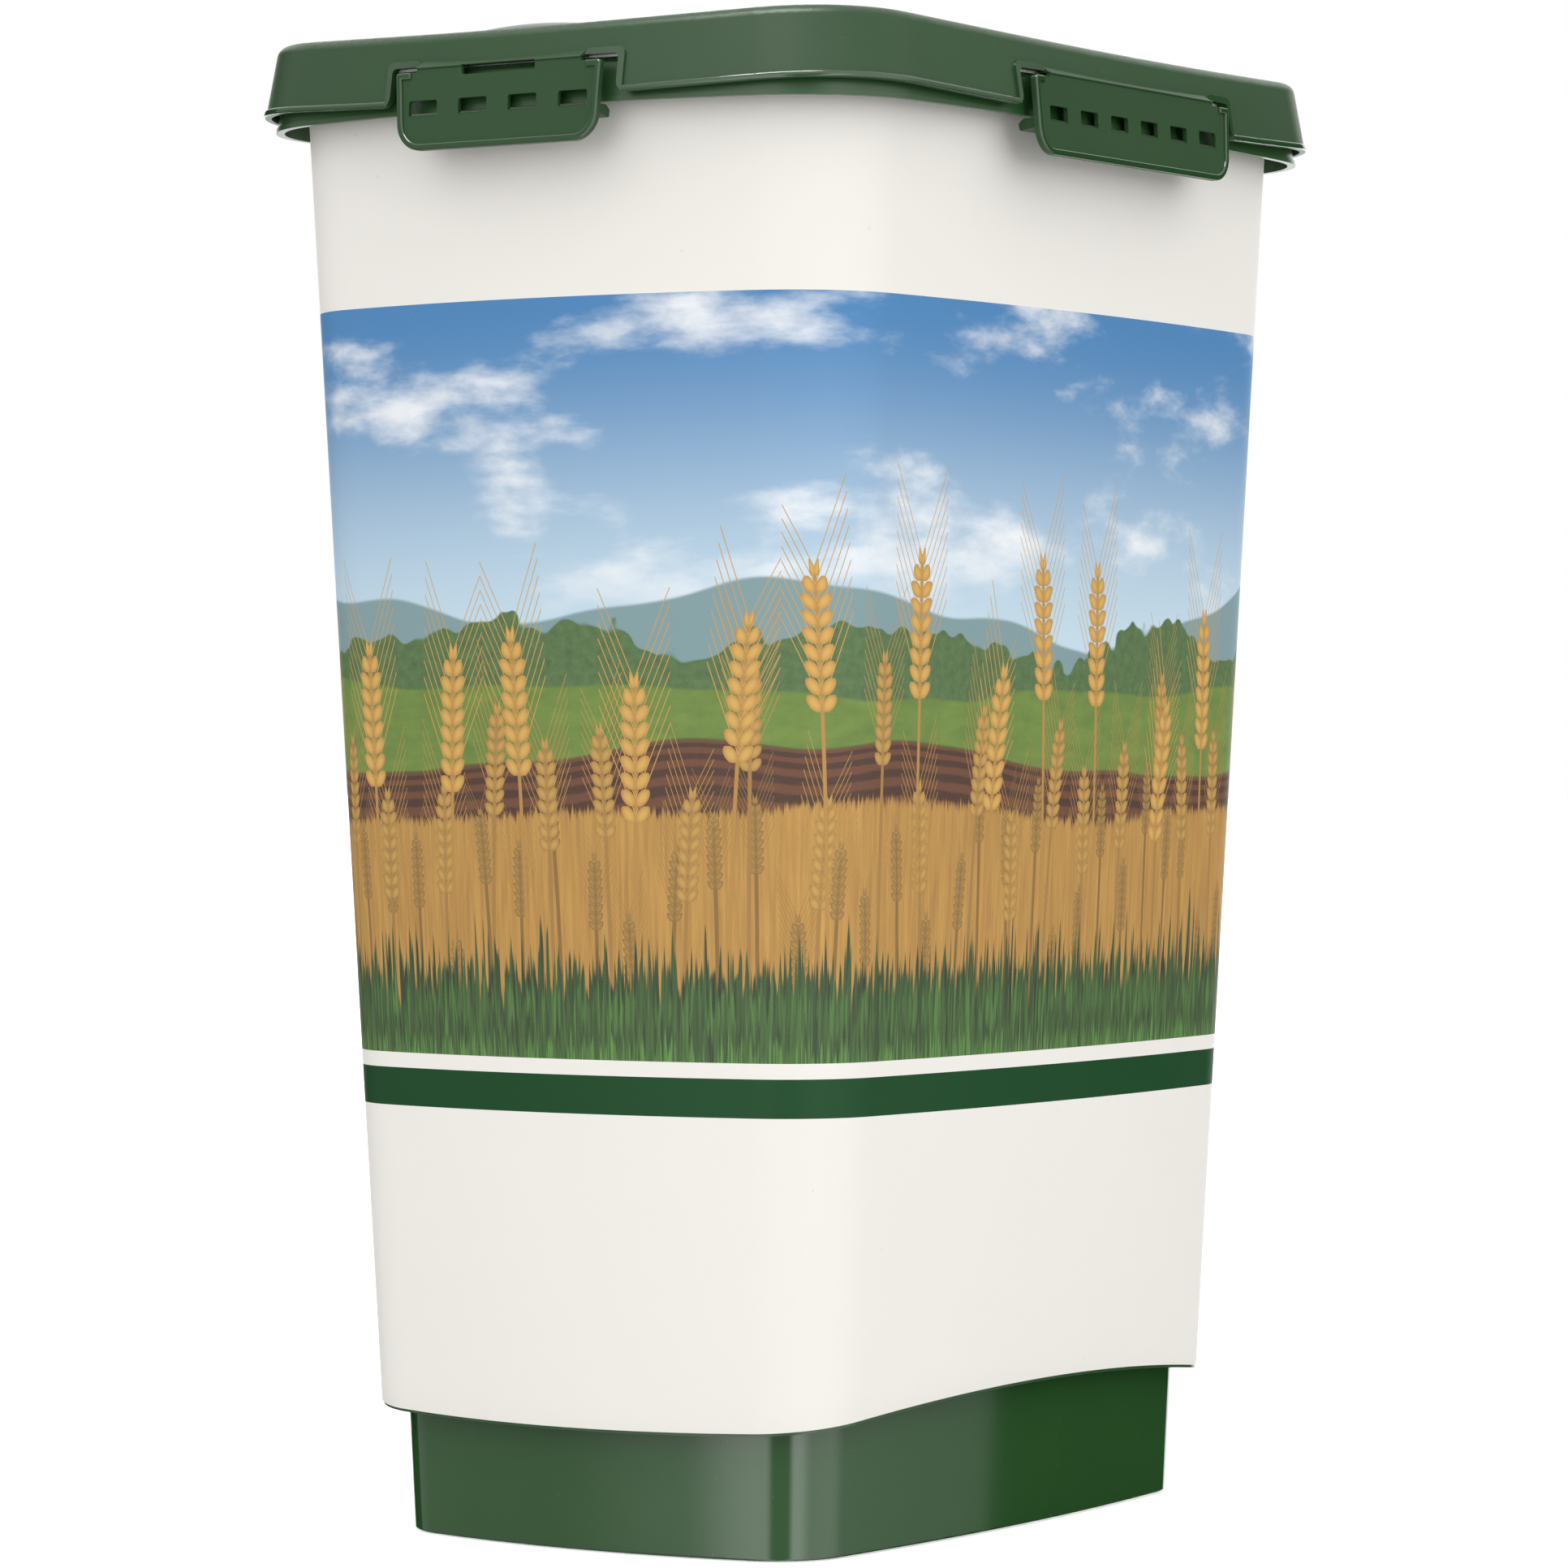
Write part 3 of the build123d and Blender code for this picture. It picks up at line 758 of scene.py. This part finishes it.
def plan_ray(plan, offset, point):
    """Ray to a point from the centre of its arc, and how far the point stands past the arc."""
    arcs = plan_arcs(plan, offset)
    x, y = abs(point.x), abs(point.y)
    turn = atan2(y - arcs.corner_y, x - arcs.corner_x)
    if arcs.tip < turn < pi / 2 - arcs.lean:
        ray, radius = Vector((x - arcs.corner_x, y - arcs.corner_y)), arcs.corner
    elif x * arcs.corner_y > y * arcs.corner_x:
        ray, radius = Vector((x - arcs.short_centre, y)), arcs.short_bow
    else:
        ray, radius = Vector((x, y - arcs.long_centre)), arcs.long_bow
    return Vector((copysign(ray.x, point.x), copysign(ray.y, point.y))), ray.length - radius


def true_normals(mesh, plan, draft):
    """Sets exact normals on a drafted outer face, so that its reflections run straight."""
    normals = [Vector(corner.vector) for corner in mesh.corner_normals]
    near, alike = 0.0001, 0.9
    for face in mesh.polygons:
        for corner in face.loop_indices:
            point = mesh.vertices[mesh.loops[corner].vertex_index].co
            ray, past = plan_ray(plan, draft * point.z, point)
            facing = Vector((*ray.normalized(), -draft)).normalized()
            if abs(past) < near and face.normal.dot(facing) > alike:
                normals[corner] = facing
    mesh.normals_split_custom_set(normals)


def plan_ring(plan, offset):
    """Points of the plan at an offset, from mid back all round and over the start by the lap."""
    arcs = plan_arcs(plan, offset)
    x, y, corner, lean, tip = arcs.corner_x, arcs.corner_y, arcs.corner, arcs.lean, arcs.tip
    back, left, front, right = pi / 2, pi, 3 * pi / 2, 2 * pi
    end = right + back
    lap = plan.lap / arcs.long_bow
    climb = lap / 4
    over = arcs.long_bow + plan.wrap_thickness
    corner_steps, short_steps, long_steps, lap_steps = 26, 40, 52, 5
    stretches = (
        (0, arcs.long_centre, arcs.long_bow, back, back + lean, long_steps // 2),
        (-x, y, corner, back + lean, left - tip, corner_steps),
        (-arcs.short_centre, 0, arcs.short_bow, left - tip, left + tip, short_steps),
        (-x, -y, corner, left + tip, front - lean, corner_steps),
        (0, -arcs.long_centre, arcs.long_bow, front - lean, front + lean, long_steps),
        (x, -y, corner, front + lean, right - tip, corner_steps),
        (arcs.short_centre, 0, arcs.short_bow, right - tip, right + tip, short_steps),
        (x, y, corner, right + tip, end - lean, corner_steps),
        (0, arcs.long_centre, arcs.long_bow, end - lean, end - climb, long_steps // 2),
        (0, arcs.long_centre, over, end - climb, end + lap, lap_steps),
    )
    points = [(0.0, plan.half_width + offset)]
    for centre_x, centre_y, radius, first, last, steps in stretches:
        for step in range(1, steps + 1):
            turn = first + (last - first) * step / steps
            points.append((centre_x + radius * cos(turn), centre_y + radius * sin(turn)))
    return points


# The wrap's geometry nodes


def band_tree():
    """Geometry nodes that stretch a grid between two plans, with an arched lower edge."""
    tree = bpy.data.node_groups.new("bowed_band", "GeometryNodeTree")
    sockets(tree, "INPUT", "NodeSocketGeometry", "Plan")
    sockets(tree, "INPUT", "NodeSocketInt", "Rows")
    sockets(tree, "INPUT", "NodeSocketFloat", "Top", "Arch Crown", "Arch Radius")
    sockets(tree, "INPUT", "NodeSocketMaterial", "Finish")
    sockets(tree, "OUTPUT", "NodeSocketGeometry", "Band")
    plan, rows, top, crown, radius, finish, _ = put(tree, "NodeGroupInput").outputs
    count = put(tree, "GeometryNodeAttributeDomainSize", plan, component="MESH").outputs[0]
    grid = put(tree, "GeometryNodeMeshGrid", 1.0, 1.0, count, rows).outputs[0]
    x, y, _ = put(tree, "ShaderNodeSeparateXYZ", put(tree, "GeometryNodeInputPosition").outputs[0]).outputs
    place = times(tree, plus(tree, x, 0.5), minus(tree, count, 1.0))
    index = put(tree, "FunctionNodeFloatToInt", place, rounding_mode="ROUND").outputs[0]

    def sampled(value, data_type):
        node = tree.nodes.new("GeometryNodeSampleIndex")
        node.data_type = data_type
        tree.links.new(plan, node.inputs["Geometry"])
        tree.links.new(value, node.inputs["Value"])
        tree.links.new(index, node.inputs["Index"])
        return node.outputs[0]

    def named(name, data_type):
        return put(tree, "GeometryNodeInputNamedAttribute", name, data_type=data_type).outputs[0]

    low = sampled(put(tree, "GeometryNodeInputPosition").outputs[0], "FLOAT_VECTOR")
    high = sampled(named("upper", "FLOAT_VECTOR"), "FLOAT_VECTOR")
    girth = sampled(named("girth", "FLOAT"), "FLOAT")
    low_x, _, low_z = put(tree, "ShaderNodeSeparateXYZ", low).outputs
    high_z = put(tree, "ShaderNodeSeparateXYZ", high).outputs[2]

    # The arch is a circle over the band's length, and each point lies between the two plans
    fall = minus(tree, times(tree, radius, radius), times(tree, low_x, low_x))
    edge = plus(tree, minus(tree, crown, radius), calc(tree, "SQRT", fall))
    height = scaled(tree, minus(tree, top, edge), plus(tree, y, 0.5), edge)
    share = ratio(tree, minus(tree, height, low_z), minus(tree, high_z, low_z))
    mix = tree.nodes.new("ShaderNodeMix")
    mix.data_type = "VECTOR"
    mix.clamp_factor = False
    share_input, low_input, high_input = mix.inputs[0], mix.inputs[4], mix.inputs[5]
    tree.links.new(share, share_input)
    tree.links.new(low, low_input)
    tree.links.new(high, high_input)

    chart = put(tree, "ShaderNodeCombineXYZ", girth, height, 0.0).outputs[0]
    store = tree.nodes.new("GeometryNodeStoreNamedAttribute")
    store.data_type = "FLOAT2"
    store.domain = "CORNER"
    feed(tree, store.inputs["Geometry"], grid)
    feed(tree, store.inputs["Name"], "UVMap")
    feed(tree, store.inputs["Value"], chart)
    moved = tree.nodes.new("GeometryNodeSetPosition")
    feed(tree, moved.inputs["Geometry"], store.outputs[0])
    feed(tree, moved.inputs["Position"], mix.outputs[1])
    smooth = put(tree, "GeometryNodeSetShadeSmooth", moved.outputs[0])
    real = put(tree, "GeometryNodeRealizeInstances", smooth.outputs[0])
    painted = tree.nodes.new("GeometryNodeSetMaterial")
    feed(tree, painted.inputs["Geometry"], real.outputs[0])
    feed(tree, painted.inputs["Material"], finish)
    put(tree, "NodeGroupOutput", painted.outputs[0])
    return tree


def plain_mesh(carrier, tree, inputs, name):
    """Runs a geometry node tree on a mesh and keeps the result as a plain mesh."""
    holder = bpy.data.objects.new(name + "_maker", carrier)
    bpy.context.scene.collection.objects.link(holder)
    maker = holder.modifiers.new("maker", "NODES")
    maker.node_group = tree
    for item in tree.interface.items_tree:
        if item.item_type == "SOCKET" and item.in_out == "INPUT" and item.name in inputs:
            maker[item.identifier] = inputs[item.name]
    graph = bpy.context.evaluated_depsgraph_get()
    mesh = bpy.data.meshes.new_from_object(holder.evaluated_get(graph))
    mesh.name = name
    holder.modifiers.remove(maker)
    bpy.data.objects.remove(holder)
    return mesh


# Operators for the pieces


class FEEDBIN_OT_tub(bpy.types.Operator):
    """Make the foot, wall and rim of the tub"""

    bl_idname = "feed_bin.tub"
    bl_label = "Tub"

    def execute(self, context):
        plan = context.scene.bin_plan
        foot = moulded_copy("tub_foot", "tub_foot_shell")
        true_normals(foot, plan, plan.foot_draft)
        add_piece("tub_foot_shell", foot, [foot_green()], "bin", "tub_green", "tub_foot")
        for node in ("tub_wall", "tub_rim"):
            name = node + "_shell"
            piece = add_piece(name, moulded_copy(node, name), [satin_green()], "bin", "tub_green", node)
            even_normals(piece)
        return {"FINISHED"}


class FEEDBIN_OT_wrap(bpy.types.Operator):
    """Make the printed wrap on the wall"""

    bl_idname = "feed_bin.wrap"
    bl_label = "Printed wrap"

    def execute(self, context):
        plan = context.scene.bin_plan
        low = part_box("wall_wrap")[0].z
        heights = (low, plan.wrap_top)
        faces = [plan.wall_at_floor + plan.wall_draft * z + plan.wrap_thickness for z in heights]
        low_ring, high_ring = [plan_ring(plan, face) for face in faces]
        carrier = bpy.data.meshes.new("wrap_plan")
        points = [(*point, low) for point in low_ring]
        carrier.from_pydata(points, [(i, i + 1) for i in range(len(points) - 1)], [])
        carrier.attributes.new("upper", "FLOAT_VECTOR", "POINT")
        carrier.attributes.new("girth", "FLOAT", "POINT")
        walked = 0.0
        for i, point in enumerate(high_ring):
            carrier.attributes["upper"].data[i].vector = (*point, plan.wrap_top)
            if i:
                walked += (Vector(point) - Vector(high_ring[i - 1])).length
            carrier.attributes["girth"].data[i].value = walked
        film = printed_film()
        inputs = {
            "Rows": plan.rows,
            "Top": plan.wrap_top,
            "Arch Crown": plan.arch_crown,
            "Arch Radius": plan.arch_radius,
            "Finish": film,
        }
        mesh = plain_mesh(carrier, band_tree(), inputs, "printed_wrap")
        piece = add_piece("printed_wrap", mesh, [film], "bin", "wrap_white", "wall_wrap")
        skin = piece.modifiers.new("skin", "SOLIDIFY")
        film_share = 0.9
        skin.thickness = plan.wrap_thickness * film_share
        skin.offset = -1
        even_normals(piece)
        return {"FINISHED"}


class FEEDBIN_OT_lid(bpy.types.Operator):
    """Make the lid with its hinge webs and seal"""

    bl_idname = "feed_bin.lid"
    bl_label = "Lid"

    def execute(self, context):
        plan = context.scene.bin_plan
        hinge_height = joint_place("left_clip_hinge").z

        def on_bead(point, normal):
            skirt = plan.skirt_at_hinge + (hinge_height - point.z) * tan(plan.skirt_angle)
            stands_proud = plan_ray(plan, skirt, point)[1] > plan.proud
            return stands_proud and normal.z < sin(plan.bead_slope)

        matt, polished = matt_green(), bead_green()
        shell = moulded_copy("lid", "lid_shell", on_bead)
        piece = add_piece("lid_shell", shell, [matt, polished], "lid", "lid_green", "lid")
        broken_edges(piece)
        even_normals(piece)
        for side in SIDES:
            node = side + "_hinge_web"
            name = node + "_film"
            add_piece(name, moulded_copy(node, name), [matt], "lid", "lid_green", node)
        rubber = soft_plastic(
            "seal_rubber", context.scene.bin_finish.seal,
            roughness_low=0.55, roughness_high=0.7, grain_scale=900.0,
        )
        ring = moulded_copy("lid_seal", "seal_ring")
        add_piece("seal_ring", ring, [rubber], "lid", "seal_grey", "lid_seal")
        return {"FINISHED"}


class FEEDBIN_OT_clips(bpy.types.Operator):
    """Make the four clips"""

    bl_idname = "feed_bin.clips"
    bl_label = "Clips"

    def execute(self, context):
        plan = context.scene.bin_plan
        for side, outward in SIDES.items():
            node = side + "_clip"
            hinge = joint_place(node + "_hinge")
            facing = outward * cos(plan.clip_angle) + Vector((0, 0, sin(plan.clip_angle)))

            def on_border(point, normal):
                return (point - hinge).dot(facing) > plan.proud

            name = node + "_plate"
            plate = moulded_copy(node, name, on_border)
            piece = add_piece(name, plate, [matt_green(), bead_green()], node, "lid_green", node)
            broken_edges(piece)
            even_normals(piece)
        return {"FINISHED"}


class FEEDBIN_OT_grips(bpy.types.Operator):
    """Make the two finger grips"""

    bl_idname = "feed_bin.grips"
    bl_label = "Grips"

    def execute(self, context):
        grey = soft_plastic(
            "grip_plastic", context.scene.bin_finish.grip,
            roughness_low=0.36, roughness_high=0.46, grain_scale=1400.0,
        )
        for node in ("left_grip", "right_grip"):
            name = node + "_block"
            piece = add_piece(name, moulded_copy(node, name), [grey], "lid", "grip_grey", node)
            even_normals(piece)
        return {"FINISHED"}


# Stage


def camera_axes(studio):
    """Level directions from the bin to the camera and to the camera's right."""
    toward = Vector((-sin(studio.turn), -cos(studio.turn), 0.0))
    aside = Vector((cos(studio.turn), -sin(studio.turn), 0.0))
    return toward, aside


def dot(tree, vector, direction):
    """How far a vector runs along a direction."""
    node = put(tree, "ShaderNodeVectorMath", vector, direction, operation="DOT_PRODUCT")
    return node.outputs["Value"]


def shade(tree, amount, lower, upper):
    """One value over another."""
    return scaled(tree, minus(tree, upper, lower), amount, lower)


def studio_light(studio):
    """World light: panels round the bin with dark stretches between them, under an even dome."""
    world = bpy.data.worlds.new("studio")
    world.use_nodes = True
    tree = world.node_tree
    tree.nodes.clear()
    toward, aside = camera_axes(studio)
    ray = put(tree, "ShaderNodeTexCoord").outputs["Generated"]
    turn = calc(tree, "ARCTAN2", dot(tree, ray, aside), dot(tree, ray, toward))
    turn = times(tree, turn, degrees(1))
    light = studio.room
    for panel in PANELS:
        begins = ease(tree, turn, panel.start, panel.start + panel.start_edge)
        ends = ease(tree, turn, panel.end, panel.end - panel.end_edge)
        light = scaled(tree, times(tree, begins, ends), panel.strength, light)
    for start, end in DARK_STRETCHES:
        begins = ease(tree, turn, start - DARK_EDGE, start)
        ends = ease(tree, turn, end, end - DARK_EDGE)
        light = shade(tree, times(tree, begins, ends), light, 0.0)
    rise = dot(tree, ray, (0.0, 0.0, 1.0))
    overhead = ease(tree, rise, sin(radians(DOME_FROM)), sin(radians(DOME_TO)))
    light = shade(tree, overhead, light, studio.dome)
    seen = put(tree, "ShaderNodeLightPath").outputs["Is Camera Ray"]
    light = shade(tree, seen, light, studio.backdrop)
    glow = put(tree, "ShaderNodeBackground", (1.0, 1.0, 1.0, 1.0), light)
    put(tree, "ShaderNodeOutputWorld", glow.outputs[0])
    return world


def pale_floor(studio):
    """Paint of the floor: white for the camera, greyer for the light that it throws back."""
    material, tree, shader = new_material("pale_floor")
    shader.inputs["Roughness"].default_value = 0.8
    patches = noise(tree, object_place(tree), scale=3.0, detail=3.0)
    paint = blend(tree, patches, (0.88, 0.88, 0.88), (0.92, 0.92, 0.92))
    seen = put(tree, "ShaderNodeLightPath").outputs["Is Camera Ray"]
    feed(tree, shader.inputs["Base Color"], blend(tree, seen, [studio.floor_bounce] * 3, paint))
    shader.inputs["Emission Color"].default_value = (1.0, 1.0, 1.0, 1.0)
    feed(tree, shader.inputs["Emission Strength"], times(tree, seen, studio.floor_glow))
    return material


class FEEDBIN_OT_stage(bpy.types.Operator):
    """Make the floor, the lights and the camera"""

    bl_idname = "feed_bin.stage"
    bl_label = "Stage"

    def execute(self, context):
        scene = context.scene
        studio = scene.bin_studio
        toward, aside = camera_axes(studio)
        up = Vector((0.0, 0.0, 1.0))

        floor = bpy.data.meshes.new("floor")
        reach, drop = 30.0, 0.0002
        corners = [(-reach, -reach, 0), (reach, -reach, 0), (reach, reach, 0), (-reach, reach, 0)]
        floor.from_pydata(corners, [], [(0, 1, 2, 3)])
        floor.materials.append(pale_floor(studio))
        ground = bpy.data.objects.new("floor", floor)
        ground.location.z = -drop
        ground.visible_glossy = False
        scene.collection.objects.link(ground)

        scene.world = studio_light(studio)
        scene.view_settings.view_transform = "Standard"

        lamp = bpy.data.lights.new("softbox", "AREA")
        lamp.shape = "RECTANGLE"
        lamp.size = studio.softbox_width
        lamp.size_y = studio.softbox_depth
        lamp.energy = studio.softbox
        holder = bpy.data.objects.new("softbox", lamp)
        away = toward * cos(studio.softbox_turn) + aside * sin(studio.softbox_turn)
        holder.location = away * studio.softbox_reach + up * studio.softbox_height
        aim = up * cad_box[1].z
        holder.rotation_euler = (aim - holder.location).to_track_quat("-Z", "Y").to_euler()
        holder.visible_camera = False
        holder.visible_diffuse = False
        scene.collection.objects.link(holder)

        lens = bpy.data.cameras.new("photo_camera")
        lens.sensor_width = 36.0
        lens.lens = studio.lens
        lens.shift_x = studio.shift_x
        lens.shift_y = studio.shift_y
        camera = bpy.data.objects.new("photo_camera", lens)
        camera.location = toward * studio.distance + up * studio.height
        camera.rotation_euler = (pi / 2, 0.0, -studio.turn)
        scene.collection.objects.link(camera)
        scene.camera = camera
        return {"FINISHED"}


class FEEDBIN_PT_panel(bpy.types.Panel):
    """Lists the steps that dress the bin"""

    bl_idname = "FEEDBIN_PT_panel"
    bl_label = "Feed Bin"
    bl_space_type = "VIEW_3D"
    bl_region_type = "UI"
    bl_category = "Feed Bin"

    def draw(self, context):
        for step in STEPS:
            self.layout.operator(step.bl_idname)


GROUPS = {"bin_plan": BinPlan, "bin_print": BinPrint, "bin_finish": BinFinish, "bin_studio": BinStudio}
STEPS = (
    FEEDBIN_OT_tub,
    FEEDBIN_OT_wrap,
    FEEDBIN_OT_lid,
    FEEDBIN_OT_clips,
    FEEDBIN_OT_grips,
    FEEDBIN_OT_stage,
)


def register():
    """Registers the settings, the steps and the panel."""
    for name, group in GROUPS.items():
        bpy.utils.register_class(group)
        setattr(bpy.types.Scene, name, PointerProperty(type=group))
    for step in STEPS:
        bpy.utils.register_class(step)
    bpy.utils.register_class(FEEDBIN_PT_panel)


def unregister():
    """Takes the panel, the steps and the settings out again."""
    bpy.utils.unregister_class(FEEDBIN_PT_panel)
    for step in reversed(STEPS):
        bpy.utils.unregister_class(step)
    for name, group in GROUPS.items():
        delattr(bpy.types.Scene, name)
        bpy.utils.unregister_class(group)


def main():
    """Dresses the bin step by step."""
    register()
    bpy.ops.feed_bin.tub()
    bpy.ops.feed_bin.wrap()
    bpy.ops.feed_bin.lid()
    bpy.ops.feed_bin.clips()
    bpy.ops.feed_bin.grips()
    bpy.ops.feed_bin.stage()


if __name__ == "__main__":
    main()
